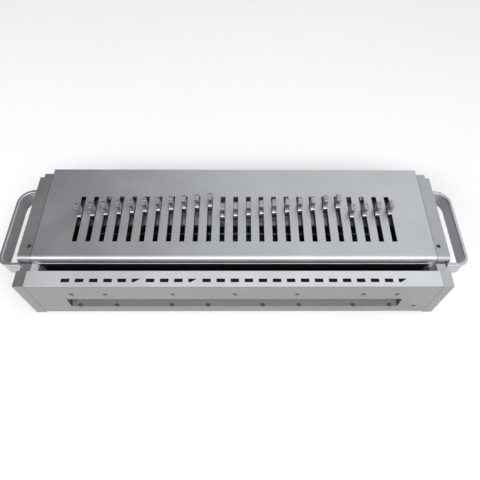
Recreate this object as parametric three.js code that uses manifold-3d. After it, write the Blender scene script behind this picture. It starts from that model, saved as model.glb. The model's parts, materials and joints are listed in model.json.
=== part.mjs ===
// Interchangeable punch die set for plastic comb binding, as a scene graph of named pieces.
// Millimetres, +Z up, +X along the row of pins, -Y towards the operator.
// Origin: middle of the length and depth, on the underside of the end plates.
import * as THREE from "three";
import { mergeVertices } from "three/addons/utils/BufferGeometryUtils.js";
import Module from "manifold-3d";

// ---- driving dimensions -------------------------------------------------------------------
const PIN_COUNT = 25;
const PITCH = 14.2875; // 9/16 inch, the comb binding standard
const HOLE_WIDTH = 8; // punched hole along the paper edge
const HOLE_HEIGHT = 3;
const STROKE = 26; // travel of the pressure bar and its pins
const STAGGER = 1.4; // each pin starts this much behind its neighbour
const PINS_IN_GROUP = [11, 10, 4]; // the stagger starts again at each group
const GAP = 0.3; // running and assembly clearance

const FRONT_Y = -76.5; // front face of the fascia and the end plates
const BACK_Y = 76.5; // rear edge of the slotted cover
const TOP_Z = 68; // top face of the cover and the pattern strip
const BODY_HALF = 223; // outer face of an end plate
const END_PLATE = 10.5; // thickness of an end plate
const FOOT = 3; // the end plates stand this much below the rest
const BASE_SHEET = 2; // thickness of the base plate
const PIN_Z = 30; // height of the pins' centre line

const COVER_HALF = 213; // half the length of the slotted cover
const COVER_SHEET = 2;
const LIP_Y = -46; // front face of the cover's rolled edge
const LIP_RADIUS = 6;
const LIP_BOTTOM = 59;
const SLOT_WIDTH = 5.4;
const SLOT_FRONT = -23.9;
const SLOT_BACK = 35.4;

const END_COVER_HALF = 227; // outer edge of the end covers
const END_COVER_PLATE = 4;
const END_COVER_BACK = 67.5;
const END_COVER_STEP_BACK = 62.5; // its outer strip stops short of the rest
const END_COVER_STEP_X = 222.5;
const END_SCREW_X = 217; // screw that holds each end cover down
const END_SCREW_Y = -29.7;
const END_SCREW_LENGTH = 12;

const STRIP_BACK = -59; // rear edge of the front bar's top
const STRIP_THICKNESS = 1.2;
const DIE_BACK = -52.5; // front wall of the paper throat
const DIE_FRONT = -69;
const THROAT_HALF = 202; // half the length of the paper throat
const THROAT_FLOOR = PIN_Z - 4.8; // paper edge to hole centre is 4.8 mm
const GUIDE_FRONT = -46.3; // rear wall of the paper throat
const GUIDE_BACK = -29.8;
const INNER_HALF = BODY_HALF - END_PLATE - GAP; // half the length of what lies between the end plates
const BLOCK_LOW = FOOT + BASE_SHEET + GAP; // underside of the blocks that stand on the base plate

const WINDOW_HALF = 179; // chip window in the fascia
const WINDOW_HIGH = 36.6;
const WINDOW_SILL = 20.4; // height of its sill at the back
const WINDOW_LIP = 16.4; // and at the front: the sill slopes so that the chips slide out
const UPPER_SCREW_Z = 47.8;
const UPPER_SCREW_X = [-170, -135, -65, 0, 65, 135, 170];
const LOWER_SCREW_Z = 17.2;
const LOWER_SCREW_X = [-170, -130, -70, -30, 30, 70, 130, 170, 196.5];
const SCREW_HEAD = 2; // radius of a screw head
const SCREW_SHANK = 1.2;
const FASCIA_POCKET = 2.6; // depth of the pockets for the screw heads in the fascia
const COVER_POCKET = 2; // and in the end covers
const TAPPED_DEPTH = 7; // of the screw holes in the die plate

const BAR_FRONT = GUIDE_BACK + STROKE + GAP; // the pressure bar ends its stroke just short of the guide block
const BAR_BACK = 36.5;
const BAR_HALF = 208;
const BAR_LOW = 18;
const BAR_HIGH = 46;
const KEEPER_HALF = 160; // half the length of the strip that keeps the pins down
const TAB_PLATE_FRONT = 2;
const TAB_PLATE_HIGH = 60;
const TAB_PLATE_SHEET = 3;
const PIN_TIP = -45.5; // tip of the foremost pin at rest
const TAB_FRONT = 7.7; // front face of the foremost pull tab at rest
const TAB_LENGTH = 9;
const TAB_WIDTH = 4.6;
const TAB_TOP = 82;

const ROD_X = 192; // guide rods
const ROD_Z = 33;
const ROD_RADIUS = 4;
const ROD_BACK = 58.3;
const SPRING_POCKET = 21.7; // floor of the spring pocket in the pressure bar
const BUSH_RADIUS = 6.7;

const BACK_PLATE_FRONT = 50;
const BACK_PLATE_BACK = 58;
const PUSH_RAIL_HALF = 150; // the punch's drive presses on this rail
const PUSH_RAIL_LOW = 26;
const PUSH_RAIL_HIGH = 42;
const PUSH_RAIL_BACK = 60;

const HANDLE_OUT = 247.5; // outer face of a handle
const HANDLE_FRONT = -51.3;
const HANDLE_BACK = 46.8;
const HANDLE_FRONT_RADIUS = 12; // rounding of its corners in plan
const HANDLE_BACK_RADIUS = 18;
const HANDLE_LOW = 45;
const HANDLE_HIGH = 65;
const HANDLE_RIM = 4; // width of the rim on top of the handle's wall
const HANDLE_RIM_DEPTH = 3;
const HANDLE_WALL = 2.8;

// ---- tools --------------------------------------------------------------------------------
const wasm = await Module();
wasm.setup();

/** A closed three.js geometry as a solid that can be joined and cut. */
function solid(geometry) {
  const points = geometry.clone();
  points.deleteAttribute("normal");
  points.deleteAttribute("uv");
  const merged = mergeVertices(points, 1e-4);
  return new wasm.Manifold(
    new wasm.Mesh({
      numProp: 3,
      vertProperties: new Float32Array(merged.attributes.position.array),
      triVerts: new Uint32Array(merged.index.array),
    }),
  );
}

/** A solid as a three.js geometry. */
function geometryOf(body) {
  const mesh = body.getMesh();
  const geometry = new THREE.BufferGeometry();
  geometry.setAttribute("position", new THREE.BufferAttribute(mesh.vertProperties, 3));
  geometry.setIndex(new THREE.BufferAttribute(mesh.triVerts, 1));
  geometry.computeVertexNormals();
  return geometry;
}

/** A box between two corners. */
function box([x0, y0, z0], [x1, y1, z1]) {
  const geometry = new THREE.BoxGeometry(x1 - x0, y1 - y0, z1 - z0);
  return solid(geometry.translate((x0 + x1) / 2, (y0 + y1) / 2, (z0 + z1) / 2));
}

/** A box that reaches from -halfX to halfX. */
const wideBox = (halfX, [y0, z0], [y1, z1]) => box([-halfX, y0, z0], [halfX, y1, z1]);

/** A cylinder along Y from y0 to y1. */
function rodY(radius, x, z, y0, y1, sides = 16) {
  const geometry = new THREE.CylinderGeometry(radius, radius, y1 - y0, sides);
  return solid(geometry.translate(x, (y0 + y1) / 2, z));
}

/** A cylinder along Z from z0 to z1. */
function rodZ(radius, x, y, z0, z1, sides = 16) {
  const geometry = new THREE.CylinderGeometry(radius, radius, z1 - z0, sides);
  return solid(geometry.rotateX(Math.PI / 2).translate(x, y, (z0 + z1) / 2));
}

/** A profile of (Y, Z) points pushed along X from x0 to x1. */
function alongX(shape, x0, x1, curveSegments = 8) {
  const geometry = new THREE.ExtrudeGeometry(shape, { depth: x1 - x0, bevelEnabled: false, curveSegments });
  const turn = new THREE.Matrix4().set(0, 0, 1, x0, 1, 0, 0, 0, 0, 1, 0, 0, 0, 0, 0, 1);
  return solid(geometry.applyMatrix4(turn));
}

/** An outline of (X, Y) points pushed up from z0 to z1. */
function alongZ(shape, z0, z1, curveSegments = 8) {
  const geometry = new THREE.ExtrudeGeometry(shape, { depth: z1 - z0, bevelEnabled: false, curveSegments });
  return solid(geometry.translate(0, 0, z0));
}

/** A straight-sided profile. */
const polygon = (points) => new THREE.Shape(points.map(([a, b]) => new THREE.Vector2(a, b)));

const cutAll = (body, tools) => tools.reduce((left, tool) => left.subtract(tool), body);
const joinAll = (bodies) => bodies.reduce((sum, body) => sum.add(body));

const finish = (color, roughness, metalness) =>
  new THREE.MeshStandardMaterial({ color, roughness, metalness });
const FINISH = {
  cover: finish(0xb4b8bb, 0.38, 0.75), // satin silver paint
  casting: finish(0xaeb2b4, 0.42, 0.7),
  aluminium: finish(0xa9adae, 0.4, 0.85),
  strip: finish(0xdcdfe0, 0.5, 0.3),
  steel: finish(0x8f9396, 0.3, 0.95),
  black: finish(0x202224, 0.5, 0.6), // blackened steel
  chrome: finish(0xc9cdd0, 0.15, 1),
  bronze: finish(0xa7793f, 0.35, 0.9),
};

/** One named piece. */
function piece(name, body, material) {
  const mesh = new THREE.Mesh(geometryOf(body), material);
  mesh.name = name;
  return mesh;
}

// ---- the pins' places ---------------------------------------------------------------------
const pinX = (index) => (index - (PIN_COUNT - 1) / 2) * PITCH;

/** How far each pin starts behind the foremost ones. */
const pinOffsets = PINS_IN_GROUP.flatMap((count) => Array.from({ length: count }, (_, k) => k * STAGGER));

/** Holes from y0 to y1 that the pins' blades run through. */
function pinHoles(y0, y1) {
  const halfWidth = HOLE_WIDTH / 2 + GAP;
  const halfHeight = HOLE_HEIGHT / 2 + GAP;
  return pinOffsets.map((_, index) => {
    const x = pinX(index);
    return box([x - halfWidth, y0, PIN_Z - halfHeight], [x + halfWidth, y1, PIN_Z + halfHeight]);
  });
}

// ---- covers -------------------------------------------------------------------------------
/** Cross-section of the rolled front edge shared by the cover and the end covers. */
function rolledEdge(shape) {
  shape.lineTo(LIP_Y, LIP_BOTTOM);
  shape.lineTo(LIP_Y, TOP_Z - LIP_RADIUS);
  shape.absarc(LIP_Y + LIP_RADIUS, TOP_Z - LIP_RADIUS, LIP_RADIUS, Math.PI, Math.PI / 2, true);
}

function topCover() {
  const flangeBottom = 57;
  const bend = 4;
  const inside = TOP_Z - COVER_SHEET;
  const profile = new THREE.Shape();
  profile.moveTo(LIP_Y + COVER_SHEET, LIP_BOTTOM);
  rolledEdge(profile);
  profile.lineTo(BACK_Y - bend, TOP_Z);
  profile.absarc(BACK_Y - bend, TOP_Z - bend, bend, Math.PI / 2, 0, true);
  profile.lineTo(BACK_Y, flangeBottom);
  profile.lineTo(BACK_Y - COVER_SHEET, flangeBottom);
  profile.lineTo(BACK_Y - COVER_SHEET, TOP_Z - bend);
  profile.absarc(BACK_Y - bend, TOP_Z - bend, bend - COVER_SHEET, 0, Math.PI / 2, false);
  profile.lineTo(LIP_Y + LIP_RADIUS, inside);
  const innerRadius = LIP_RADIUS - COVER_SHEET;
  profile.absarc(LIP_Y + LIP_RADIUS, TOP_Z - LIP_RADIUS, innerRadius, Math.PI / 2, Math.PI, false);
  const slots = Array.from({ length: PIN_COUNT }, (_, index) => {
    const x = pinX(index);
    return box([x - SLOT_WIDTH / 2, SLOT_FRONT, inside - 1], [x + SLOT_WIDTH / 2, SLOT_BACK, TOP_Z + 1]);
  });
  return cutAll(alongX(profile, -COVER_HALF, COVER_HALF), slots);
}

/** side is -1 for the left end, 1 for the right end. */
function endCover(side) {
  const under = TOP_Z - END_COVER_PLATE;
  const profile = new THREE.Shape();
  profile.moveTo(LIP_Y + COVER_SHEET, LIP_BOTTOM);
  rolledEdge(profile);
  profile.lineTo(END_COVER_BACK, TOP_Z);
  profile.lineTo(END_COVER_BACK, under);
  profile.lineTo(LIP_Y + COVER_SHEET, under);
  const inner = COVER_HALF + GAP;
  const plate = alongX(profile, side < 0 ? -END_COVER_HALF : inner, side < 0 ? -inner : END_COVER_HALF);
  const stepFrom = side < 0 ? -END_COVER_HALF - 1 : END_COVER_STEP_X;
  const stepTo = side < 0 ? -END_COVER_STEP_X : END_COVER_HALF + 1;
  const step = box([stepFrom, END_COVER_STEP_BACK, under - 1], [stepTo, END_COVER_BACK + 1, TOP_Z + 1]);
  const x = side * END_SCREW_X;
  const shankHole = rodZ(SCREW_SHANK + GAP, x, END_SCREW_Y, under - 1, TOP_Z + 1);
  const headHole = rodZ(SCREW_HEAD + GAP, x, END_SCREW_Y, TOP_Z - COVER_POCKET, TOP_Z + 1);
  return cutAll(plate, [step, shankHole, headHole]);
}

function endCoverScrew(side) {
  const x = side * END_SCREW_X;
  const head = rodZ(SCREW_HEAD, x, END_SCREW_Y, TOP_Z - COVER_POCKET + GAP, TOP_Z - GAP);
  const shank = rodZ(SCREW_SHANK, x, END_SCREW_Y, TOP_Z - END_SCREW_LENGTH, TOP_Z - 1);
  return head.add(shank);
}

// ---- end plates and handles ---------------------------------------------------------------
function endPlate(side) {
  const valley = 62; // floor of the notch beside the paper throat
  const valleyBack = LIP_Y - 1.5;
  const underCover = TOP_Z - END_COVER_PLATE - GAP;
  const underLip = LIP_BOTTOM - GAP;
  const profile = polygon([
    [FRONT_Y, 0],
    [END_COVER_STEP_BACK, 0],
    [END_COVER_STEP_BACK, underCover],
    [LIP_Y + COVER_SHEET + GAP, underCover],
    [LIP_Y + COVER_SHEET + GAP, underLip],
    [valleyBack, underLip],
    [valleyBack, valley],
    [STRIP_BACK, valley],
    [STRIP_BACK, TOP_Z],
    [FRONT_Y, TOP_Z],
  ]);
  const inner = BODY_HALF - END_PLATE;
  const holeFloor = TOP_Z - END_SCREW_LENGTH - 2;
  const plate = alongX(profile, side < 0 ? -BODY_HALF : inner, side < 0 ? -inner : BODY_HALF);
  return plate.subtract(rodZ(SCREW_SHANK + GAP, side * END_SCREW_X, END_SCREW_Y, holeFloor, TOP_Z));
}

/** Outline of the handle's loop in plan for the right end, moved inwards by inset. */
function handleOutline(inset) {
  const root = BODY_HALF + GAP + inset;
  const out = HANDLE_OUT - inset;
  const front = HANDLE_FRONT + inset;
  const back = HANDLE_BACK - inset;
  const frontRadius = HANDLE_FRONT_RADIUS - inset;
  const backRadius = HANDLE_BACK_RADIUS - inset;
  const shape = new THREE.Shape();
  shape.moveTo(root, front);
  shape.lineTo(out - frontRadius, front);
  shape.absarc(out - frontRadius, front + frontRadius, frontRadius, -Math.PI / 2, 0, false);
  shape.lineTo(out, back - backRadius);
  shape.absarc(out - backRadius, back - backRadius, backRadius, 0, Math.PI / 2, false);
  shape.lineTo(root, back);
  return shape;
}

function handle(side) {
  const wallOuter = HANDLE_RIM - HANDLE_WALL;
  const rim = alongZ(handleOutline(0), HANDLE_HIGH - HANDLE_RIM_DEPTH, HANDLE_HIGH);
  const wall = alongZ(handleOutline(wallOuter), HANDLE_LOW, HANDLE_HIGH - 1);
  const root = box(
    [BODY_HALF + GAP, HANDLE_FRONT + wallOuter, HANDLE_LOW],
    [BODY_HALF + HANDLE_RIM, HANDLE_BACK - wallOuter, HANDLE_HIGH - 1],
  );
  const opening = alongZ(handleOutline(HANDLE_RIM), HANDLE_LOW - 1, HANDLE_HIGH + 1);
  const ring = joinAll([rim, wall, root]).subtract(opening);
  // Room for the end cover, which overhangs the loop's root.
  const low = [BODY_HALF, LIP_Y - GAP, LIP_BOTTOM - GAP];
  const overhang = box(low, [END_COVER_HALF + 1, HANDLE_BACK + 1, TOP_Z]);
  const right = ring.subtract(overhang);
  return side > 0 ? right : right.mirror([1, 0, 0]);
}

// ---- front: die, fascia and pattern strip -------------------------------------------------
/** Clearance holes from y0 to y1 for the shanks of the screws that hold the die. */
function dieScrewHoles(y0, y1) {
  return UPPER_SCREW_X.map((x) => rodY(SCREW_SHANK + GAP, x, UPPER_SCREW_Z, y0, y1, 12));
}

function diePlate() {
  const high = TOP_Z - STRIP_THICKNESS - 2 * GAP;
  const throatMouth = 52; // above this the wall leans away to lead the paper in
  const profile = polygon([
    [DIE_FRONT, BLOCK_LOW],
    [DIE_BACK, BLOCK_LOW],
    [DIE_BACK, throatMouth],
    [STRIP_BACK, high],
    [DIE_FRONT, high],
  ]);
  const plate = alongX(profile, -THROAT_HALF + GAP, THROAT_HALF - GAP);
  const tapped = dieScrewHoles(DIE_FRONT - 1, DIE_FRONT + TAPPED_DEPTH);
  return cutAll(plate, [...pinHoles(DIE_FRONT - 1, DIE_BACK + 1), ...tapped]);
}

function frontFascia() {
  const back = DIE_FRONT - GAP;
  const high = TOP_Z - STRIP_THICKNESS - GAP;
  const bar = wideBox(INNER_HALF, [FRONT_Y, FOOT], [back, high]);
  const windowProfile = polygon([
    [FRONT_Y - 1, WINDOW_LIP],
    [FRONT_Y, WINDOW_LIP],
    [back, WINDOW_SILL],
    [back + 1, WINDOW_SILL],
    [back + 1, WINDOW_HIGH],
    [FRONT_Y - 1, WINDOW_HIGH],
  ]);
  const window = alongX(windowProfile, -WINDOW_HALF, WINDOW_HALF);
  const through = dieScrewHoles(FRONT_Y - 1, back + 1);
  const headAt = (x, z) => rodY(SCREW_HEAD + GAP, x, z, FRONT_Y - 1, FRONT_Y + FASCIA_POCKET);
  const upperHeads = UPPER_SCREW_X.map((x) => headAt(x, UPPER_SCREW_Z));
  const lowerHeads = LOWER_SCREW_X.map((x) => headAt(x, LOWER_SCREW_Z));
  return cutAll(bar, [window, ...through, ...upperHeads, ...lowerHeads]);
}

function dieScrew(x) {
  const head = rodY(SCREW_HEAD, x, UPPER_SCREW_Z, FRONT_Y + GAP, FRONT_Y + FASCIA_POCKET - GAP);
  const shank = rodY(SCREW_SHANK, x, UPPER_SCREW_Z, FRONT_Y + 1, DIE_FRONT + TAPPED_DEPTH - 1, 12);
  return head.add(shank);
}

const patternStrip = () => wideBox(INNER_HALF, [FRONT_Y + GAP, TOP_Z - STRIP_THICKNESS], [STRIP_BACK, TOP_Z]);

// ---- inside the housing -------------------------------------------------------------------
/** Holes from y0 to y1 for the two guide rods. */
const rodSeats = (y0, y1) => [-ROD_X, ROD_X].map((x) => rodY(ROD_RADIUS + GAP, x, ROD_Z, y0, y1));

function guideBlock() {
  const profile = polygon([
    [GUIDE_FRONT, BLOCK_LOW],
    [GUIDE_BACK, BLOCK_LOW],
    [GUIDE_BACK, TOP_Z - COVER_SHEET - GAP],
    [LIP_Y + LIP_RADIUS, TOP_Z - COVER_SHEET - GAP],
    [LIP_Y + COVER_SHEET + GAP, LIP_BOTTOM],
    [LIP_Y + COVER_SHEET + GAP, LIP_BOTTOM - GAP],
    [GUIDE_FRONT, LIP_BOTTOM - GAP],
  ]);
  const block = alongX(profile, -INNER_HALF, INNER_HALF);
  const holes = pinHoles(GUIDE_FRONT - 1, GUIDE_BACK + 1);
  return cutAll(block, [...holes, ...rodSeats(GUIDE_FRONT - 1, GUIDE_BACK + 1)]);
}

const throatFloor = () =>
  wideBox(THROAT_HALF - GAP, [DIE_BACK + GAP, BLOCK_LOW], [GUIDE_FRONT - GAP, THROAT_FLOOR]);

/** Closes the throat at one end; its top falls towards the paper. */
function throatEndBlock(side) {
  const profile = polygon([
    [THROAT_HALF, BLOCK_LOW],
    [INNER_HALF, BLOCK_LOW],
    [INNER_HALF, 62],
    [THROAT_HALF + 4, 58],
    [THROAT_HALF, 50],
  ]);
  const depth = GUIDE_FRONT - GAP - DIE_FRONT;
  const geometry = new THREE.ExtrudeGeometry(profile, { depth, bevelEnabled: false });
  const right = solid(geometry.rotateX(Math.PI / 2).translate(0, GUIDE_FRONT - GAP, 0));
  return side > 0 ? right : right.mirror([1, 0, 0]);
}

const basePlate = () => wideBox(INNER_HALF, [DIE_FRONT, FOOT], [BACK_PLATE_FRONT - GAP, FOOT + BASE_SHEET]);

function backPlate() {
  const high = TOP_Z - COVER_SHEET - GAP;
  const plate = wideBox(INNER_HALF, [BACK_PLATE_FRONT, FOOT], [BACK_PLATE_BACK, high]);
  const clear = 4; // room around the push rail
  const window = wideBox(
    PUSH_RAIL_HALF + clear,
    [BACK_PLATE_FRONT - 1, PUSH_RAIL_LOW - clear],
    [BACK_PLATE_BACK + 1, PUSH_RAIL_HIGH + clear],
  );
  return cutAll(plate, [window, ...rodSeats(BACK_PLATE_FRONT - 1, BACK_PLATE_BACK + 1)]);
}

const guideRod = (side) => rodY(ROD_RADIUS, side * ROD_X, ROD_Z, GUIDE_FRONT + GAP, ROD_BACK, 20);

/** Compression spring that pushes the pressure bar back after each punch. */
function returnSpring(side) {
  const front = GUIDE_BACK + GAP;
  const back = SPRING_POCKET - GAP;
  const turns = 7;
  const wire = 0.8;
  const radius = 5.9;
  class Helix extends THREE.Curve {
    getPoint(t, target = new THREE.Vector3()) {
      const angle = 2 * Math.PI * turns * t;
      const y = front + wire + (back - front - 2 * wire) * t;
      return target.set(side * ROD_X + radius * Math.cos(angle), y, ROD_Z + radius * Math.sin(angle));
    }
  }
  const section = new THREE.Shape().absarc(0, 0, wire, 0, 2 * Math.PI);
  const path = new Helix();
  const steps = turns * 12;
  return solid(new THREE.ExtrudeGeometry(section, { steps, curveSegments: 3, extrudePath: path }));
}

// ---- moving carriage ----------------------------------------------------------------------
function pressureBar() {
  const bar = wideBox(BAR_HALF, [BAR_FRONT, BAR_LOW], [BAR_BACK, BAR_HIGH]);
  const deepest = TAB_FRONT + TAB_LENGTH + Math.max(...pinOffsets) + GAP;
  const rods = [-ROD_X, ROD_X].flatMap((x) => [
    rodY(BUSH_RADIUS + GAP, x, ROD_Z, BAR_FRONT, BAR_BACK + 1),
    rodY(BUSH_RADIUS + 1.3, x, ROD_Z, BAR_FRONT - 1, SPRING_POCKET),
  ]);
  return cutAll(bar, [...pinHoles(BAR_FRONT - 1, deepest), ...tabMortises(PIN_Z, BAR_HIGH + 1), ...rods]);
}

/** Upright pockets that the pull tabs stand in. */
function tabMortises(low, high) {
  return pinOffsets.map((offset, index) => {
    const x = pinX(index);
    const front = TAB_FRONT + offset - GAP;
    const halfWidth = TAB_WIDTH / 2 + GAP;
    return box([x - halfWidth, front, low], [x + halfWidth, front + TAB_LENGTH + 2 * GAP, high]);
  });
}

/** Angle plate on the pressure bar; the pull tabs pass up through it. */
function tabPlate() {
  const half = BAR_HALF - 3;
  const under = TAB_PLATE_HIGH - TAB_PLATE_SHEET;
  const shelf = wideBox(half, [TAB_PLATE_FRONT, under], [BAR_BACK, TAB_PLATE_HIGH]);
  const leg = wideBox(half, [BAR_BACK - TAB_PLATE_SHEET, BAR_HIGH + GAP], [BAR_BACK, under + 1]);
  return cutAll(shelf.add(leg), tabMortises(under - 1, TAB_PLATE_HIGH + 1));
}

const keeperStrip = () =>
  wideBox(KEEPER_HALF, [BAR_FRONT + 0.2, BAR_HIGH + GAP], [BAR_FRONT + 1.8, BAR_HIGH + 3]);

const pushRail = () =>
  wideBox(PUSH_RAIL_HALF, [BAR_BACK + GAP, PUSH_RAIL_LOW], [PUSH_RAIL_BACK, PUSH_RAIL_HIGH]);

function rodBush(side) {
  const x = side * ROD_X;
  const sleeve = rodY(BUSH_RADIUS, x, ROD_Z, SPRING_POCKET + GAP, BAR_BACK, 20);
  return sleeve.subtract(rodY(ROD_RADIUS + GAP, x, ROD_Z, SPRING_POCKET, BAR_BACK + 1, 20));
}

/** The foremost pin on the middle line: a blade with a pull tab standing at its back end. */
function punchPin() {
  const halfWidth = HOLE_WIDTH / 2;
  const halfHeight = HOLE_HEIGHT / 2;
  const tabBack = TAB_FRONT + TAB_LENGTH;
  const blade = box([-halfWidth, PIN_TIP, PIN_Z - halfHeight], [halfWidth, tabBack, PIN_Z + halfHeight]);
  const collar = 1.4; // ledge just above the cover
  const ledge = 0.7;
  const nose = 4; // height of the sloped nose
  const profile = new THREE.Shape();
  profile.moveTo(TAB_FRONT, PIN_Z);
  profile.lineTo(TAB_FRONT, TOP_Z + 1);
  profile.lineTo(TAB_FRONT - ledge, TOP_Z + 1);
  profile.lineTo(TAB_FRONT - ledge, TOP_Z + 1 + collar);
  profile.lineTo(TAB_FRONT, TOP_Z + 1 + collar);
  profile.lineTo(TAB_FRONT, TAB_TOP - nose);
  profile.lineTo(TAB_FRONT + 1.5, TAB_TOP);
  // Grip grooves across the top.
  for (const groove of [3.2, 5.2, 7.2]) {
    profile.lineTo(TAB_FRONT + groove, TAB_TOP);
    profile.lineTo(TAB_FRONT + groove, TAB_TOP - 0.8);
    profile.lineTo(TAB_FRONT + groove + 0.9, TAB_TOP - 0.8);
    profile.lineTo(TAB_FRONT + groove + 0.9, TAB_TOP);
  }
  profile.lineTo(tabBack, TAB_TOP);
  profile.lineTo(tabBack, PIN_Z);
  return blade.add(alongX(profile, -TAB_WIDTH / 2, TAB_WIDTH / 2));
}

// ---- assembly -----------------------------------------------------------------------------
function housing() {
  const group = new THREE.Group();
  group.add(
    piece("top_cover", topCover(), FINISH.cover),
    piece("die_plate", diePlate(), FINISH.steel),
    piece("front_fascia", frontFascia(), FINISH.aluminium),
    piece("pattern_strip", patternStrip(), FINISH.strip),
    piece("guide_block", guideBlock(), FINISH.black),
    piece("throat_floor", throatFloor(), FINISH.black),
    piece("base_plate", basePlate(), FINISH.steel),
    piece("back_plate", backPlate(), FINISH.aluminium),
  );
  for (const [end, side] of [["left", -1], ["right", 1]]) {
    group.add(
      piece(`end_cover_${end}`, endCover(side), FINISH.cover),
      piece(`end_cover_screw_${end}`, endCoverScrew(side), FINISH.steel),
      piece(`end_plate_${end}`, endPlate(side), FINISH.casting),
      piece(`handle_${end}`, handle(side), FINISH.casting),
      piece(`throat_end_block_${end}`, throatEndBlock(side), FINISH.casting),
      piece(`guide_rod_${end}`, guideRod(side), FINISH.chrome),
      piece(`return_spring_${end}`, returnSpring(side), FINISH.steel),
    );
  }
  UPPER_SCREW_X.forEach((x, index) => {
    group.add(piece(`die_screw_${index + 1}`, dieScrew(x), FINISH.steel));
  });
  return group;
}

function carriage() {
  const group = new THREE.Group();
  group.add(
    piece("pressure_bar", pressureBar(), FINISH.black),
    piece("tab_plate", tabPlate(), FINISH.aluminium),
    piece("keeper_strip", keeperStrip(), FINISH.steel),
    piece("push_rail", pushRail(), FINISH.steel),
    piece("rod_bush_left", rodBush(-1), FINISH.bronze),
    piece("rod_bush_right", rodBush(1), FINISH.bronze),
  );
  return group;
}

function punchPins() {
  const group = new THREE.Group();
  const pin = punchPin();
  pinOffsets.forEach((offset, index) => {
    const mesh = piece(`punch_pin_${String(index + 1).padStart(2, "0")}`, pin, FINISH.chrome);
    mesh.position.set(pinX(index), offset, 0);
    group.add(mesh);
  });
  return group;
}

const dieSet = new THREE.Group();
dieSet.add(housing(), carriage(), punchPins());
export default dieSet;
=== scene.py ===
"""Looks of a comb binding punch die set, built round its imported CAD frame.

Metres, +Z up, +X along the row of pins, -Y towards the operator.
"""
import json
import math

import bmesh
import bpy
from mathutils import Matrix, Vector


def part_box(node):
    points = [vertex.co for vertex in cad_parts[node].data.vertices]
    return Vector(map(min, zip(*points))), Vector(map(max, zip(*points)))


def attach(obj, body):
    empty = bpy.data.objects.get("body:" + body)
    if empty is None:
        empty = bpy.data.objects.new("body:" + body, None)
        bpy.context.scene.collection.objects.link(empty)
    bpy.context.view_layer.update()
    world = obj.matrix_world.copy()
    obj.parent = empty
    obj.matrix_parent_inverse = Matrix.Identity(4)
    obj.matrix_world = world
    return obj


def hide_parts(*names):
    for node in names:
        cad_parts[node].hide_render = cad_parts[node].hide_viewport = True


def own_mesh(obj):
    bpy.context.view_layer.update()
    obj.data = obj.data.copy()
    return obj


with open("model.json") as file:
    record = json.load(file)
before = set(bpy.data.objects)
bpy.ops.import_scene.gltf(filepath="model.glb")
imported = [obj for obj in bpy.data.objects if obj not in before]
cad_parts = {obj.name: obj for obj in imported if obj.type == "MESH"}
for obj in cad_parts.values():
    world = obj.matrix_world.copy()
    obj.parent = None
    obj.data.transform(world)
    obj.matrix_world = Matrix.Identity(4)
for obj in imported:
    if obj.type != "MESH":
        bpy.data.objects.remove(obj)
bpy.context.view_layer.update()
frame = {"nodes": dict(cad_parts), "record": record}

MM = 0.001
ENDS = {"left": -1, "right": 1}
PINS = sorted(node for node in frame["nodes"] if node.startswith("punch_pin_"))
DIE_SCREWS = sorted(node for node in frame["nodes"] if node.startswith("die_screw_"))

# ---- sizes that the frame's boxes don't give ------------------------------------------------
SHEET = 2 * MM  # cover sheet
ROLL = 6 * MM  # radius of the covers' rolled front edge
BEND = 4 * MM  # radius of the rear bend
SLOT_WIDTH = 5.4 * MM
SLOT_FRONT = -23.9 * MM
SLOT_BACK = 35.4 * MM
WINDOW_HALF = 179 * MM  # chip window in the fascia
WINDOW_HIGH = 36.6 * MM
WINDOW_SILL = 20.4 * MM  # height of its sloping sill at the back
WINDOW_LIP = 16.4 * MM  # and at the front
WINDOW_CORNER = 2.5 * MM
LOWER_SCREW_Z = 17.2 * MM
LOWER_SCREW_X = [x * MM for x in (-170, -130, -70, -30, 30, 70, 130, 170, 196.5)]
SCREW_RADIUS = 2 * MM
POCKET_RADIUS = 2.3 * MM
POCKET_MOUTH = 3 * MM  # the pockets' edges are broken
POCKET_DEPTH = 2.6 * MM
HANDLE_FRONT_RADIUS = 12 * MM
HANDLE_BACK_RADIUS = 18 * MM
HANDLE_RIM = 4 * MM
TAB_LENGTH = 9 * MM
TAB_HALF_WIDTH = 2.3 * MM
BLADE_HEIGHT = 3 * MM
MARK_LENGTH = 8.6 * MM
MARK_WIDTH = 4 * MM
MARK_Y = -69.7 * MM
WEDGE_MARKS = (5, 9, 24)  # marks cut to a wedge: the paper sizes start there
BEYOND = 1 * MM  # how far a cutter sticks out of what it cuts


def centre_of(node):
    return sum(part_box(node), Vector()) / 2


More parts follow.
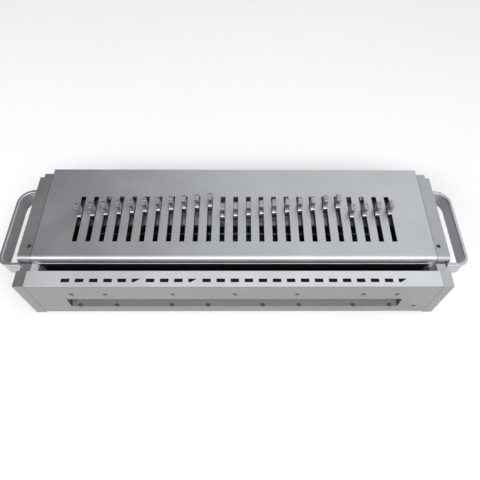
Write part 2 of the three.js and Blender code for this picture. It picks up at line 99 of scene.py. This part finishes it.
# ---- materials ------------------------------------------------------------------------------
class Nodes:
    """A short way to wire a material's nodes."""

    def __init__(self, name):
        self.material = bpy.data.materials.new(name)
        self.material.use_nodes = True
        self.tree = self.material.node_tree
        self.shader = self.tree.nodes["Principled BSDF"]
        self.position = self.add("ShaderNodeTexCoord").outputs["Object"]

    def add(self, kind, **values):
        node = self.tree.nodes.new(kind)
        for key, value in values.items():
            setattr(node, key, value)
        return node

    def link(self, source, target):
        self.tree.links.new(source, target)

    def noise(self, size, stretch=(1, 1, 1)):
        """Noise with features of about size metres, drawn out by stretch."""
        mapping = self.add("ShaderNodeMapping")
        mapping.inputs["Scale"].default_value = [1 / (size * s) for s in stretch]
        self.link(self.position, mapping.inputs["Vector"])
        noise = self.add("ShaderNodeTexNoise")
        noise.inputs["Scale"].default_value = 1.0
        noise.inputs["Detail"].default_value = 3.0
        self.link(mapping.outputs["Vector"], noise.inputs["Vector"])
        return noise.outputs["Fac"]

    def spread(self, noise, low, high):
        """Maps most of a noise's values to the range from low to high."""
        ramp = self.add("ShaderNodeMapRange")
        ramp.inputs["From Min"].default_value = 0.25
        ramp.inputs["From Max"].default_value = 0.75
        ramp.inputs["To Min"].default_value = low
        ramp.inputs["To Max"].default_value = high
        self.link(noise, ramp.inputs["Value"])
        return ramp.outputs["Result"]

    def math(self, operation, a, b):
        node = self.add("ShaderNodeMath", operation=operation)
        self.link(a, node.inputs[0])
        self.link(b, node.inputs[1])
        return node.outputs["Value"]

    def bump(self, height, distance):
        bump = self.add("ShaderNodeBump")
        bump.inputs["Distance"].default_value = distance
        self.link(height, bump.inputs["Height"])
        return bump.outputs["Normal"]


def shade(name, colour, metallic, roughness, grain, depth, stretch=(1, 1, 1), patch=0.04, variation=0.06):
    """A metal or paint: patchy colour, uneven gloss and a grain that is brushed if stretched."""
    nodes = Nodes(name)
    shader = nodes.shader
    patches = nodes.noise(patch)
    fine = nodes.noise(grain, stretch)
    value = nodes.spread(patches, 1 - variation, 1 + variation)
    speck = nodes.spread(fine, 1 - variation / 2, 1 + variation / 2)
    tint = nodes.add("ShaderNodeVectorMath", operation="SCALE")
    tint.inputs[0].default_value = colour
    nodes.link(nodes.math("MULTIPLY", value, speck), tint.inputs["Scale"])
    nodes.link(tint.outputs["Vector"], shader.inputs["Base Color"])
    smears = nodes.spread(patches, -0.04, 0.04)
    gloss = nodes.spread(fine, roughness - 0.05, roughness + 0.05)
    nodes.link(nodes.math("ADD", smears, gloss), shader.inputs["Roughness"])
    nodes.link(nodes.bump(fine, depth), shader.inputs["Normal"])
    shader.inputs["Metallic"].default_value = metallic
    return nodes.material


BRUSHED_X = (40, 1, 1)
BRUSHED_Y = (1, 30, 1)
BRUSHED_Z = (1, 1, 30)
LOOKS = {
    "cover": shade("cover_paint", (0.5, 0.51, 0.52), 0.86, 0.42, 0.5 * MM, 0.01 * MM),
    "casting": shade("casting_paint", (0.47, 0.48, 0.485), 0.88, 0.4, 0.7 * MM, 0.03 * MM),
    "aluminium": shade("aluminium", (0.285, 0.29, 0.285), 0.85, 0.36, 0.25 * MM, 0.01 * MM, BRUSHED_X),
    "strip": shade("pattern_film", (0.6, 0.61, 0.615), 0.45, 0.45, 0.4 * MM, 0.01 * MM),
    "steel": shade("ground_steel", (0.36, 0.365, 0.37), 0.95, 0.32, 0.2 * MM, 0.01 * MM, BRUSHED_X),
    # Near-black steel for the black slot: painted shade, making the guide block's face down in the narrow
    # throat as dark as the throat's shadow.
    "black": shade("throat_shade_steel", (0.02, 0.021, 0.023), 0.6, 0.45, 0.5 * MM, 0.02 * MM),
    "chrome": shade("polished_steel", (0.72, 0.73, 0.74), 1.0, 0.16, 0.3 * MM, 0.006 * MM, BRUSHED_Y),
    "bronze": shade("bronze", (0.5, 0.27, 0.09), 0.95, 0.32, 0.2 * MM, 0.01 * MM),
}
# A darker copy of the cover paint for the end covers: painted shade, standing in for the dimmer reflection
# they show.
END_COVER_SHADED_PAINT = shade("end_cover_painted_shade", (0.39, 0.4, 0.405), 0.86, 0.42, 0.5 * MM, 0.01 * MM)
# Near-black steel for the faces inside the fascia's window: painted shade for the recess, which lies in
# shadow under its top edge.
WINDOW_SHADE_STEEL = shade("window_painted_shade", (0.085, 0.085, 0.08), 0.85, 0.45, 0.25 * MM, 0.01 * MM, BRUSHED_X)
TAB_STEEL = shade("tab_steel", (0.3, 0.3, 0.31), 0.95, 0.24, 0.6 * MM, 0.15 * MM, patch=3 * MM, variation=0.4)
# Dark steel for the part of each tab's neck that stands down in the slot under the cover: painted shade.
NECK_SHADE_STEEL = shade("neck_painted_shade", (0.13, 0.132, 0.135), 0.9, 0.38, 0.25 * MM, 0.01 * MM, BRUSHED_Z)
SCREW_STEEL = shade("screw_steel", (0.14, 0.14, 0.14), 0.95, 0.3, 0.2 * MM, 0.01 * MM)
SPRING_STEEL = shade("spring_steel", (0.3, 0.31, 0.33), 0.95, 0.28, 0.2 * MM, 0.008 * MM)
INK = shade("ink", (0.008, 0.008, 0.01), 0.0, 0.85, 0.3 * MM, 0.004 * MM, variation=0.2)
INK.node_tree.nodes["Principled BSDF"].inputs["Specular IOR Level"].default_value = 0.1


# ---- mesh tools -----------------------------------------------------------------------------
def arc(centre, radius, start, end, steps):
    """Points on an arc in a plane, ends included. Angles in degrees."""
    angles = [math.radians(start + (end - start) * i / steps) for i in range(steps + 1)]
    return [(centre[0] + radius * math.cos(a), centre[1] + radius * math.sin(a)) for a in angles]


def circle(a, b, radius, steps=24):
    return arc((a, b), radius, 0, 360, steps)[:-1]


def rectangle(a0, a1, b0, b1, radius=0.0, steps=6):
    """An outline between two corners, rounded if radius isn't 0."""
    if not radius:
        return [(a0, b0), (a1, b0), (a1, b1), (a0, b1)]
    corners = [(a1 - radius, b0 + radius, -90), (a1 - radius, b1 - radius, 0)]
    corners += [(a0 + radius, b1 - radius, 90), (a0 + radius, b0 + radius, 180)]
    return [p for a, b, turn in corners for p in arc((a, b), radius, turn, turn + 90, steps)]


def loft(bm, rings):
    """Joins rings of points side by side and closes both ends."""
    rows = [[bm.verts.new(point) for point in ring] for ring in rings]
    count = len(rows[0])
    for a, b in zip(rows, rows[1:]):
        for i in range(count):
            j = (i + 1) % count
            bm.faces.new((a[i], a[j], b[j], b[i]))
    bm.faces.new(rows[0][::-1])
    bm.faces.new(rows[-1])


def along_x(bm, outline, x0, x1):
    """A closed (y, z) outline from x0 to x1."""
    loft(bm, [[(x, y, z) for y, z in outline] for x in (x0, x1)])


def along_y(bm, outline, y0, y1):
    """A closed (x, z) outline from y0 to y1."""
    loft(bm, [[(x, y, z) for x, z in outline] for y in (y0, y1)])


def along_z(bm, outline, z0, z1):
    """A closed (x, y) outline from z0 to z1."""
    loft(bm, [[(x, y, z) for x, y in outline] for z in (z0, z1)])


def turned_y(bm, x, z, profile, steps=24):
    """A turned piece along Y through (x, z), from (y, radius) points."""
    loft(bm, [[(a, y, b) for a, b in circle(x, z, radius, steps)] for y, radius in profile])


def make(name, build):
    """A new object from what build draws in a bmesh, with all faces outwards."""
    bm = bmesh.new()
    build(bm)
    bmesh.ops.remove_doubles(bm, verts=bm.verts, dist=1e-6)
    bmesh.ops.recalc_face_normals(bm, faces=bm.faces)
    mesh = bpy.data.meshes.new(name)
    bm.to_mesh(mesh)
    bm.free()
    thing = bpy.data.objects.new(name, mesh)
    bpy.context.scene.collection.objects.link(thing)
    return thing


def settle(thing):
    """Turns the object's modifiers into mesh."""
    bpy.context.view_layer.update()
    graph = bpy.context.evaluated_depsgraph_get()
    mesh = bpy.data.meshes.new_from_object(thing.evaluated_get(graph))
    thing.modifiers.clear()
    thing.data = mesh


def combine(thing, other, operation):
    """Cuts thing with other, or joins them. The other object is used up."""
    boolean = thing.modifiers.new("boolean", "BOOLEAN")
    boolean.operation = operation
    boolean.object = other
    boolean.solver = "EXACT"
    settle(thing)
    bpy.data.objects.remove(other)


def round_edges(thing, width, steps=2):
    """Breaks the sharp edges."""
    bevel = thing.modifiers.new("round_edges", "BEVEL")
    bevel.width = width
    bevel.segments = steps
    bevel.limit_method = "ANGLE"
    bevel.angle_limit = math.radians(35)
    bevel.use_clamp_overlap = True


def smooth(thing, angle=38):
    thing.data.polygons.foreach_set("use_smooth", [True] * len(thing.data.polygons))
    thing.data.set_sharp_from_angle(angle=math.radians(angle))


def even_shading(thing):
    """Lets the large flat faces, not the rounded edges, set the normals."""
    weighted = thing.modifiers.new("even_shading", "WEIGHTED_NORMAL")
    weighted.keep_sharp = True


def paint(thing, material):
    thing.data.materials.clear()
    thing.data.materials.append(material)


def hand_over(thing, body, nodes):
    """Puts a piece on its body, in place of its CAD nodes if it has any."""
    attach(thing, body)
    if nodes:
        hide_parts(*nodes)


def finish(thing, material, nodes=(), edge=0.0):
    """Rounds, smooths and paints a piece of the housing."""
    if edge:
        round_edges(thing, edge)
        settle(thing)
    smooth(thing)
    even_shading(thing)
    paint(thing, material)
    hand_over(thing, "housing", nodes)
    return thing


def twin(thing, name, place, body, nodes=()):
    """Another object with the same mesh at another place."""
    copy = bpy.data.objects.new(name, thing.data)
    copy.matrix_world = place
    bpy.context.scene.collection.objects.link(copy)
    hand_over(copy, body, nodes)


# ---- covers ---------------------------------------------------------------------------------
PIN_X = [centre_of(pin).x for pin in PINS]
LIP_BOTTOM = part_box("end_cover_left")[0].z


def rolled_front(front, top):
    """(y, z) points up the outside of the lip, with a hemmed lower edge, and over the roll."""
    hem = 0.5 * MM
    bead = arc((front, LIP_BOTTOM + hem), hem, -90, -270, 6)
    return bead + [(front, LIP_BOTTOM + 3 * hem)] + arc((front + ROLL, top - ROLL), ROLL, 180, 90, 14)


def top_cover():
    """One folded sheet: faces run along its section, and the cells inside the slots are left out."""
    low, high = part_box("top_cover")
    section = rolled_front(low.y, high.z)
    slot_row = len(section)
    section += [(SLOT_FRONT, high.z), (SLOT_BACK, high.z)]
    section += arc((high.y - BEND, high.z - BEND), BEND, 90, 0, 8)
    section += [(high.y, low.z)]
    slot_edges = [x + s * SLOT_WIDTH / 2 for x in PIN_X for s in (-1, 1)]
    edges = [low.x, *slot_edges, high.x]

    def build(bm):
        rows = [[bm.verts.new((x, y, z)) for y, z in section] for x in edges]
        for i, (a, b) in enumerate(zip(rows, rows[1:])):
            for j in range(len(section) - 1):
                in_slot = i % 2 == 1 and j == slot_row
                if not in_slot:
                    bm.faces.new((a[j], b[j], b[j + 1], a[j + 1]))

    cover = make("cover_sheet", build)
    solidify = cover.modifiers.new("sheet", "SOLIDIFY")
    solidify.thickness = SHEET
    solidify.offset = -1
    solidify.use_even_offset = True
    settle(cover)
    finish(cover, LOOKS["cover"], ["top_cover"], edge=0.25 * MM)


# ---- handles --------------------------------------------------------------------------------
def loop_outline(root, out, front, back, steps=14):
    """((x, y), outward direction in degrees) along the right-hand loop, from front to back."""
    corners = [
        ((out - HANDLE_FRONT_RADIUS, front + HANDLE_FRONT_RADIUS), HANDLE_FRONT_RADIUS, -90),
        ((out - HANDLE_BACK_RADIUS, back - HANDLE_BACK_RADIUS), HANDLE_BACK_RADIUS, 0),
    ]
    outline = [((root, front), -90)]
    for centre, radius, turn in corners:
        points = arc(centre, radius, turn, turn + 90, steps)
        outline += [(point, turn + 90 * i / steps) for i, point in enumerate(points)]
    outline.append(((root, back), 90))
    return outline


def band_section(low, high, recess):
    """(distance inwards, z) points round the band: a wall under a rim that stands proud of it."""
    rim_depth = 3 * MM
    curl = 1.3 * MM
    small = 0.6 * MM
    section = [(recess, high - rim_depth - small), (recess - small, high - rim_depth)]
    section += arc((curl, high - curl), curl, 180, 90, 5)
    section += arc((HANDLE_RIM - curl, high - curl), curl, 90, 0, 5)
    section += arc((HANDLE_RIM - small, low + small), small, 0, -90, 3)
    section += arc((recess + small, low + small), small, -90, -180, 3)
    return section


def handle(end, side):
    """A band swept round the outline of the loop, and the bar that holds it to the end plate."""
    low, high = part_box(f"handle_{end}")
    root, out = (low.x, high.x) if side > 0 else (-high.x, -low.x)
    recess = 1.2 * MM
    section = band_section(low.z, high.z, recess)

    def band(bm):
        rings = []
        for (x, y), angle in loop_outline(root, out, low.y, high.y):
            away_x = math.cos(math.radians(angle))
            away_y = math.sin(math.radians(angle))
            rings.append([(x - away_x * inward, y - away_y * inward, z) for inward, z in section])
        loft(bm, rings)

    def root_bar(bm):
        gap_under_lip = 0.3 * MM
        bar = rectangle(root, root + HANDLE_RIM, low.y + recess, high.y - recess)
        along_z(bm, bar, low.z, LIP_BOTTOM - gap_under_lip)

    loop = make(f"handle_loop_{end}", band)
    combine(loop, make("root_bar", root_bar), "UNION")
    if side < 0:
        loop.data.transform(Matrix.Scale(-1, 4, (1, 0, 0)))
        loop.data.flip_normals()
    finish(loop, LOOKS["casting"], [f"handle_{end}"])


# ---- front ----------------------------------------------------------------------------------
def front_fascia():
    low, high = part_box("front_fascia")
    screw_places = [centre_of(screw).xz for screw in DIE_SCREWS]
    screw_places += [(x, LOWER_SCREW_Z) for x in LOWER_SCREW_X]
    mouth = POCKET_MOUTH - POCKET_RADIUS
    pocket = [(-BEYOND, POCKET_MOUTH), (0, POCKET_MOUTH)]
    pocket += [(mouth, POCKET_RADIUS), (POCKET_DEPTH, POCKET_RADIUS)]

    def plate(bm):
        along_y(bm, rectangle(low.x, high.x, low.z, high.z), low.y, high.y)

    def window(bm):
        sill = [(low.y - BEYOND, WINDOW_LIP), (low.y, WINDOW_LIP)]
        sill += [(high.y, WINDOW_SILL), (high.y + BEYOND, WINDOW_SILL)]
        rings = []
        for y, floor_z in sill:
            outline = rectangle(-WINDOW_HALF, WINDOW_HALF, floor_z, WINDOW_HIGH, WINDOW_CORNER)
            rings.append([(x, y, z) for x, z in outline])
        loft(bm, rings)

    def pockets(bm):
        for x, z in screw_places:
            turned_y(bm, x, z, [(low.y + depth, radius) for depth, radius in pocket])

    fascia = make("fascia_bar", plate)
    combine(fascia, make("window", window), "DIFFERENCE")
    combine(fascia, make("pockets", pockets), "DIFFERENCE")
    finish(fascia, LOOKS["aluminium"], ["front_fascia"], edge=0.2 * MM)
    # The faces inside the window take the near-black steel: painted shade in the recess.
    fascia.data.materials.append(WINDOW_SHADE_STEEL)
    skin = 0.3 * MM
    for face in fascia.data.polygons:
        x, y, z = face.center
        inside_y = low.y + skin < y < high.y - skin
        in_window = abs(x) <= WINDOW_HALF and WINDOW_LIP <= z <= WINDOW_HIGH
        face.material_index = int(inside_y and in_window)


def screw_mesh():
    """A screw head that looks towards -Y: a crowned disc with a cross recess."""
    crown = 0.35 * MM
    height = 1.7 * MM
    cross_depth = 0.9 * MM

    def head(bm):
        profile = [(0, 0.3), (0.35 * crown, 0.75), (crown, 0.93), (2.2 * crown, 1), (height, 1)]
        turned_y(bm, 0, 0, [(y, share * SCREW_RADIUS) for y, share in profile])

    def cross(bm):
        arm = 0.72 * SCREW_RADIUS
        half = 0.2 * SCREW_RADIUS
        quarter = [(arm, -half), (arm, half), (half, half)]
        turns = [(1, 0), (0, 1), (-1, 0), (0, -1)]
        star = [(a * c - b * s, a * s + b * c) for c, s in turns for a, b in quarter]
        along_y(bm, star, -BEYOND, cross_depth)

    screw = make("screw_head", head)
    combine(screw, make("cross", cross), "DIFFERENCE")
    smooth(screw)
    paint(screw, SCREW_STEEL)
    return screw


def fascia_screws(pattern):
    """The upper row is the CAD's die screws; each stands at its own turn."""
    sunk = 0.4 * MM
    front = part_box("front_fascia")[0].y + sunk
    turn_per_metre = 47

    def place(x, z):
        return Matrix.Translation((x, front, z)) @ Matrix.Rotation(x * turn_per_metre, 4, "Y")

    for node in DIE_SCREWS:
        x, z = centre_of(node).xz
        twin(pattern, f"{node}_head", place(x, z), "housing", [node])
    for i, x in enumerate(LOWER_SCREW_X):
        twin(pattern, f"fascia_screw_{i + 1}", place(x, LOWER_SCREW_Z), "housing")


def end_cover_screw(pattern, end):
    node = f"end_cover_screw_{end}"
    sunk = 0.35 * MM
    centre = centre_of(node)
    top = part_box(f"end_cover_{end}")[1].z - sunk
    downwards = Matrix.Rotation(math.radians(-90), 4, "X")
    place = Matrix.Translation((centre.x, centre.y, top)) @ downwards
    twin(pattern, f"{node}_head", place, "housing", [node])


def end_plate_screws(pattern, end, side):
    """Screws through the end plate into the blocks behind it, their heads a little proud."""
    proud = 0.4 * MM
    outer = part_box(f"end_plate_{end}")[0 if side < 0 else 1].x
    inwards = Matrix.Rotation(math.radians(90 * side), 4, "Z")
    low = 12 * MM
    high = 51 * MM
    anchors = [("front_fascia", low), ("front_fascia", high), ("guide_block", low)]
    anchors += [("back_plate", low), ("back_plate", high)]
    for i, (node, z) in enumerate(anchors):
        place = Matrix.Translation((outer + side * proud, centre_of(node).y, z)) @ inwards
        twin(pattern, f"end_plate_screw_{end}_{i + 1}", place, "housing")


def pattern_marks():
    """Printed marks over the pins' places: plain bars, and wedges where a paper size starts."""
    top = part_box("pattern_strip")[1].z
    ink = 0.06 * MM
    wedge_toe = 0.3 * MARK_LENGTH
    front = MARK_Y - MARK_WIDTH / 2
    back = MARK_Y + MARK_WIDTH / 2

    def build(bm):
        for i, x in enumerate(PIN_X):
            left = x - MARK_LENGTH / 2
            outline = rectangle(left, left + MARK_LENGTH, front, back)
            if i in WEDGE_MARKS:
                outline[1] = (left + wedge_toe, front)
            along_z(bm, outline, top - ink, top + ink)

    finish(make("pattern_marks", build), INK)


# ---- pins -----------------------------------------------------------------------------------
def tab_outline(front, back, bottom, cover, top):
    """(y, z) points round a pull tab: neck, ledge over the cover, finger hollow and ridged top."""
    neck = front + 0.8 * MM
    ledge_front = front - 1.7 * MM
    ledge = cover + 1 * MM
    chin = ledge - 0.6 * MM
    collar = ledge + 1 * MM
    shelf = (ledge_front + 1 * MM, collar + 0.55 * MM)
    hollow = (front - 3.4 * MM, (ledge + top) / 2 - 0.8 * MM)
    hollow_radius = 4.6 * MM
    hollow_half_angle = 38
    outline = [(neck, bottom), (neck, chin), (ledge_front, ledge), (ledge_front, collar), shelf]
    outline += arc(hollow, hollow_radius, -hollow_half_angle, hollow_half_angle, 8)
    outline += [(front, top - 1.2 * MM), (front + 0.5 * MM, top - 0.2 * MM)]
    ridges = 4
    ridge_height = top - 0.5 * MM
    groove_height = top - 0.9 * MM
    first = front + 0.9 * MM
    pitch = (back - first - 0.4 * MM) / ridges
    for i in range(ridges):
        start = first + i * pitch
        outline += arc((start + 0.35 * pitch, ridge_height), 0.3 * pitch, 165, 15, 4)
        outline.append((start + 0.85 * pitch, groove_height))
    return outline + [(back, top - 0.6 * MM), (back, bottom)]


def pin_mesh():
    """The first pin, moved so that its tip is at y 0 and its middle at x 0."""
    low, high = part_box(PINS[0])
    back = high.y - low.y
    half = (high.x - low.x) / 2
    blade_top = low.z + BLADE_HEIGHT
    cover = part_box("top_cover")[1].z
    neck_from = blade_top + 1 * MM
    tab_from = cover + 0.6 * MM

    def blade(bm):
        along_y(bm, rectangle(-half, half, low.z, blade_top), 0, back)

    def tab(bm):
        outline = tab_outline(back - TAB_LENGTH, back, low.z + BLADE_HEIGHT / 2, cover, high.z)
        along_x(bm, outline, -TAB_HALF_WIDTH, TAB_HALF_WIDTH)

    pin = make("pin", blade)
    combine(pin, make("tab", tab), "UNION")
    round_edges(pin, 0.15 * MM, 1)
    settle(pin)
    smooth(pin, 30)
    paint(pin, LOOKS["chrome"])
    # Faces between the blade and the cover take the dark neck steel, as painted shade in the slot; the tab
    # above the cover takes the tab steel.
    pin.data.materials.append(NECK_SHADE_STEEL)
    pin.data.materials.append(TAB_STEEL)
    for face in pin.data.polygons:
        height = face.center.z
        face.material_index = (height > neck_from) + (height > tab_from)
    return pin


def pins():
    pattern = pin_mesh()
    for x, node in zip(PIN_X, PINS):
        place = Matrix.Translation((x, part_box(node)[0].y, 0))
        twin(pattern, f"{node}_piece", place, f"{node}_body", [node])
    bpy.data.objects.remove(pattern)


# ---- inside ---------------------------------------------------------------------------------
def guide_rod(end):
    node = f"guide_rod_{end}"
    low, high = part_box(node)
    x, _, z = centre_of(node)
    radius = (high.z - low.z) / 2
    chamfer = 0.6 * MM
    profile = [(low.y, radius - chamfer), (low.y + chamfer, radius)]
    profile += [(high.y - chamfer, radius), (high.y, radius - chamfer)]
    rod = make(f"rod_{end}", lambda bm: turned_y(bm, x, z, profile, 40))
    finish(rod, LOOKS["chrome"], [node])


def return_spring(end):
    """A coil that the pressure bar squeezes towards the guide block. Its end turns lie flat."""
    node = f"return_spring_{end}"
    low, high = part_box(node)
    length = high.y - low.y
    x, _, z = centre_of(node)
    wire = 0.8 * MM
    radius = (high.z - low.z) / 2 - wire
    turns = 9
    steps_per_turn = 28
    open_turns = turns - 2
    pitch = (length - 4 * wire) / open_turns

    def rise(turn):
        """The y of the wire's middle after so many turns."""
        open_part = min(max(turn - 1, 0), open_turns)
        end_part = turn - open_part
        return low.y + wire + open_part * pitch + end_part * wire

    def build(bm):
        rings = []
        for i in range(turns * steps_per_turn + 1):
            turn = i / steps_per_turn
            out = Vector((math.cos(2 * math.pi * turn), 0, math.sin(2 * math.pi * turn)))
            middle = Vector((x, rise(turn), z)) + out * radius
            rings.append([middle + out * a + Vector((0, b, 0)) for a, b in circle(0, 0, wire, 10)])
        loft(bm, rings)

    spring = finish(make(f"spring_{end}", build), SPRING_STEEL, [node])
    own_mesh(spring)


def dress_frame():
    """Material and broken edges for the CAD nodes. The end covers get a darker copy of their slot's paint:
    painted shade.
    """
    slots = {part["node"]: part["material_slot"] for part in frame["record"]["subparts"]}
    broken = 0.4 * MM
    for node, thing in frame["nodes"].items():
        paint(thing, END_COVER_SHADED_PAINT if node.startswith("end_cover") else LOOKS[slots[node]])
        if not thing.hide_render:
            round_edges(thing, broken)
    for end in ENDS:
        darker_front_faces(frame["nodes"][f"end_plate_{end}"])


def darker_front_faces(plate):
    """The end plates' front faces take the fascia's aluminium: they are machined together with the fascia,
    and the darker colour is also painted shade for faces that get less light than the tops.
    """
    frontwards = -0.9
    plate.data.materials.append(LOOKS["aluminium"])
    for face in plate.data.polygons:
        face.material_index = int(face.normal.y < frontwards)


# ---- stage ----------------------------------------------------------------------------------
def floor():
    half = 6.0
    corners = rectangle(-half, half, -half, half)
    ground = make("floor", lambda bm: bm.faces.new([bm.verts.new((x, y, 0)) for x, y in corners]))
    matt = shade("floor", (0.95, 0.95, 0.95), 0.0, 0.7, 2 * MM, 0.02 * MM, patch=0.5, variation=0.01)
    paint(ground, matt)


def area_light(name, place, size, power):
    """A rectangular light that looks at the middle of the die set."""
    light = bpy.data.lights.new(name, "AREA")
    light.shape = "RECTANGLE"
    light.size, light.size_y = size
    light.energy = power
    lamp = bpy.data.objects.new(name, light)
    lamp.location = place
    lamp.rotation_euler = Vector(place).to_track_quat("Z", "Y").to_euler()
    bpy.context.scene.collection.objects.link(lamp)


def surroundings():
    """A plain room, dim to the left and bright to the right, with a pale backdrop for the camera."""
    dim_until = -0.36  # the direction's X where the room starts to get brighter
    bright_from = 0.0
    dimmest = 0.03
    brightest = 1.05
    world = bpy.data.worlds.new("studio")
    world.use_nodes = True
    tree = world.node_tree
    direction = tree.nodes.new("ShaderNodeTexCoord")
    axes = tree.nodes.new("ShaderNodeSeparateXYZ")
    ramp = tree.nodes.new("ShaderNodeMapRange")
    ramp.interpolation_type = "SMOOTHSTEP"
    ramp.inputs["From Min"].default_value = dim_until
    ramp.inputs["From Max"].default_value = bright_from
    ramp.inputs["To Min"].default_value = dimmest
    ramp.inputs["To Max"].default_value = brightest
    rays = tree.nodes.new("ShaderNodeLightPath")
    backdrop = tree.nodes.new("ShaderNodeMath")
    backdrop.operation = "MULTIPLY"
    backdrop.inputs[1].default_value = brightest
    strength = tree.nodes.new("ShaderNodeMath")
    strength.operation = "MAXIMUM"
    background = tree.nodes["Background"]
    background.inputs["Color"].default_value = (0.96, 0.98, 1.0, 1)
    tree.links.new(direction.outputs["Generated"], axes.inputs["Vector"])
    tree.links.new(axes.outputs["X"], ramp.inputs["Value"])
    tree.links.new(ramp.outputs["Result"], strength.inputs[0])
    tree.links.new(rays.outputs["Is Camera Ray"], backdrop.inputs[0])
    tree.links.new(backdrop.outputs["Value"], strength.inputs[1])
    tree.links.new(strength.outputs["Value"], background.inputs["Strength"])
    bpy.context.scene.world = world
    bpy.context.scene.view_settings.view_transform = "Standard"


def camera():
    """Above and in front of the die set, a little to the right of its middle."""
    data = bpy.data.cameras.new("camera")
    data.sensor_width = 36
    data.lens = 34.2
    data.shift_x = -0.0176
    data.shift_y = -0.0282
    azimuth = -1.494
    downwards = 57.64  # degrees below the horizon
    roll = 1.334
    place = Matrix.Translation((0.0073, -0.2711, 0.4882))
    turn = Matrix.Rotation(math.radians(azimuth), 4, "Z")
    tilt = Matrix.Rotation(math.radians(90 - downwards), 4, "X")
    lean = Matrix.Rotation(math.radians(roll), 4, "Z")
    eye = bpy.data.objects.new("camera", data)
    eye.matrix_world = place @ turn @ tilt @ lean
    bpy.context.scene.collection.objects.link(eye)
    bpy.context.scene.camera = eye


top_cover()
front_fascia()
pattern_marks()
pins()
screw = screw_mesh()
fascia_screws(screw)
for end, side in ENDS.items():
    end_cover_screw(screw, end)
    end_plate_screws(screw, end, side)
    handle(end, side)
    guide_rod(end)
    return_spring(end)
bpy.data.objects.remove(screw)
dress_frame()

floor()
area_light("strip_light", place=(0.1, -0.8, 1.1), size=(1.4, 0.6), power=10.5)
area_light("key", place=(-1.1, -0.95, 1.2), size=(0.5, 0.5), power=8)
surroundings()
camera()
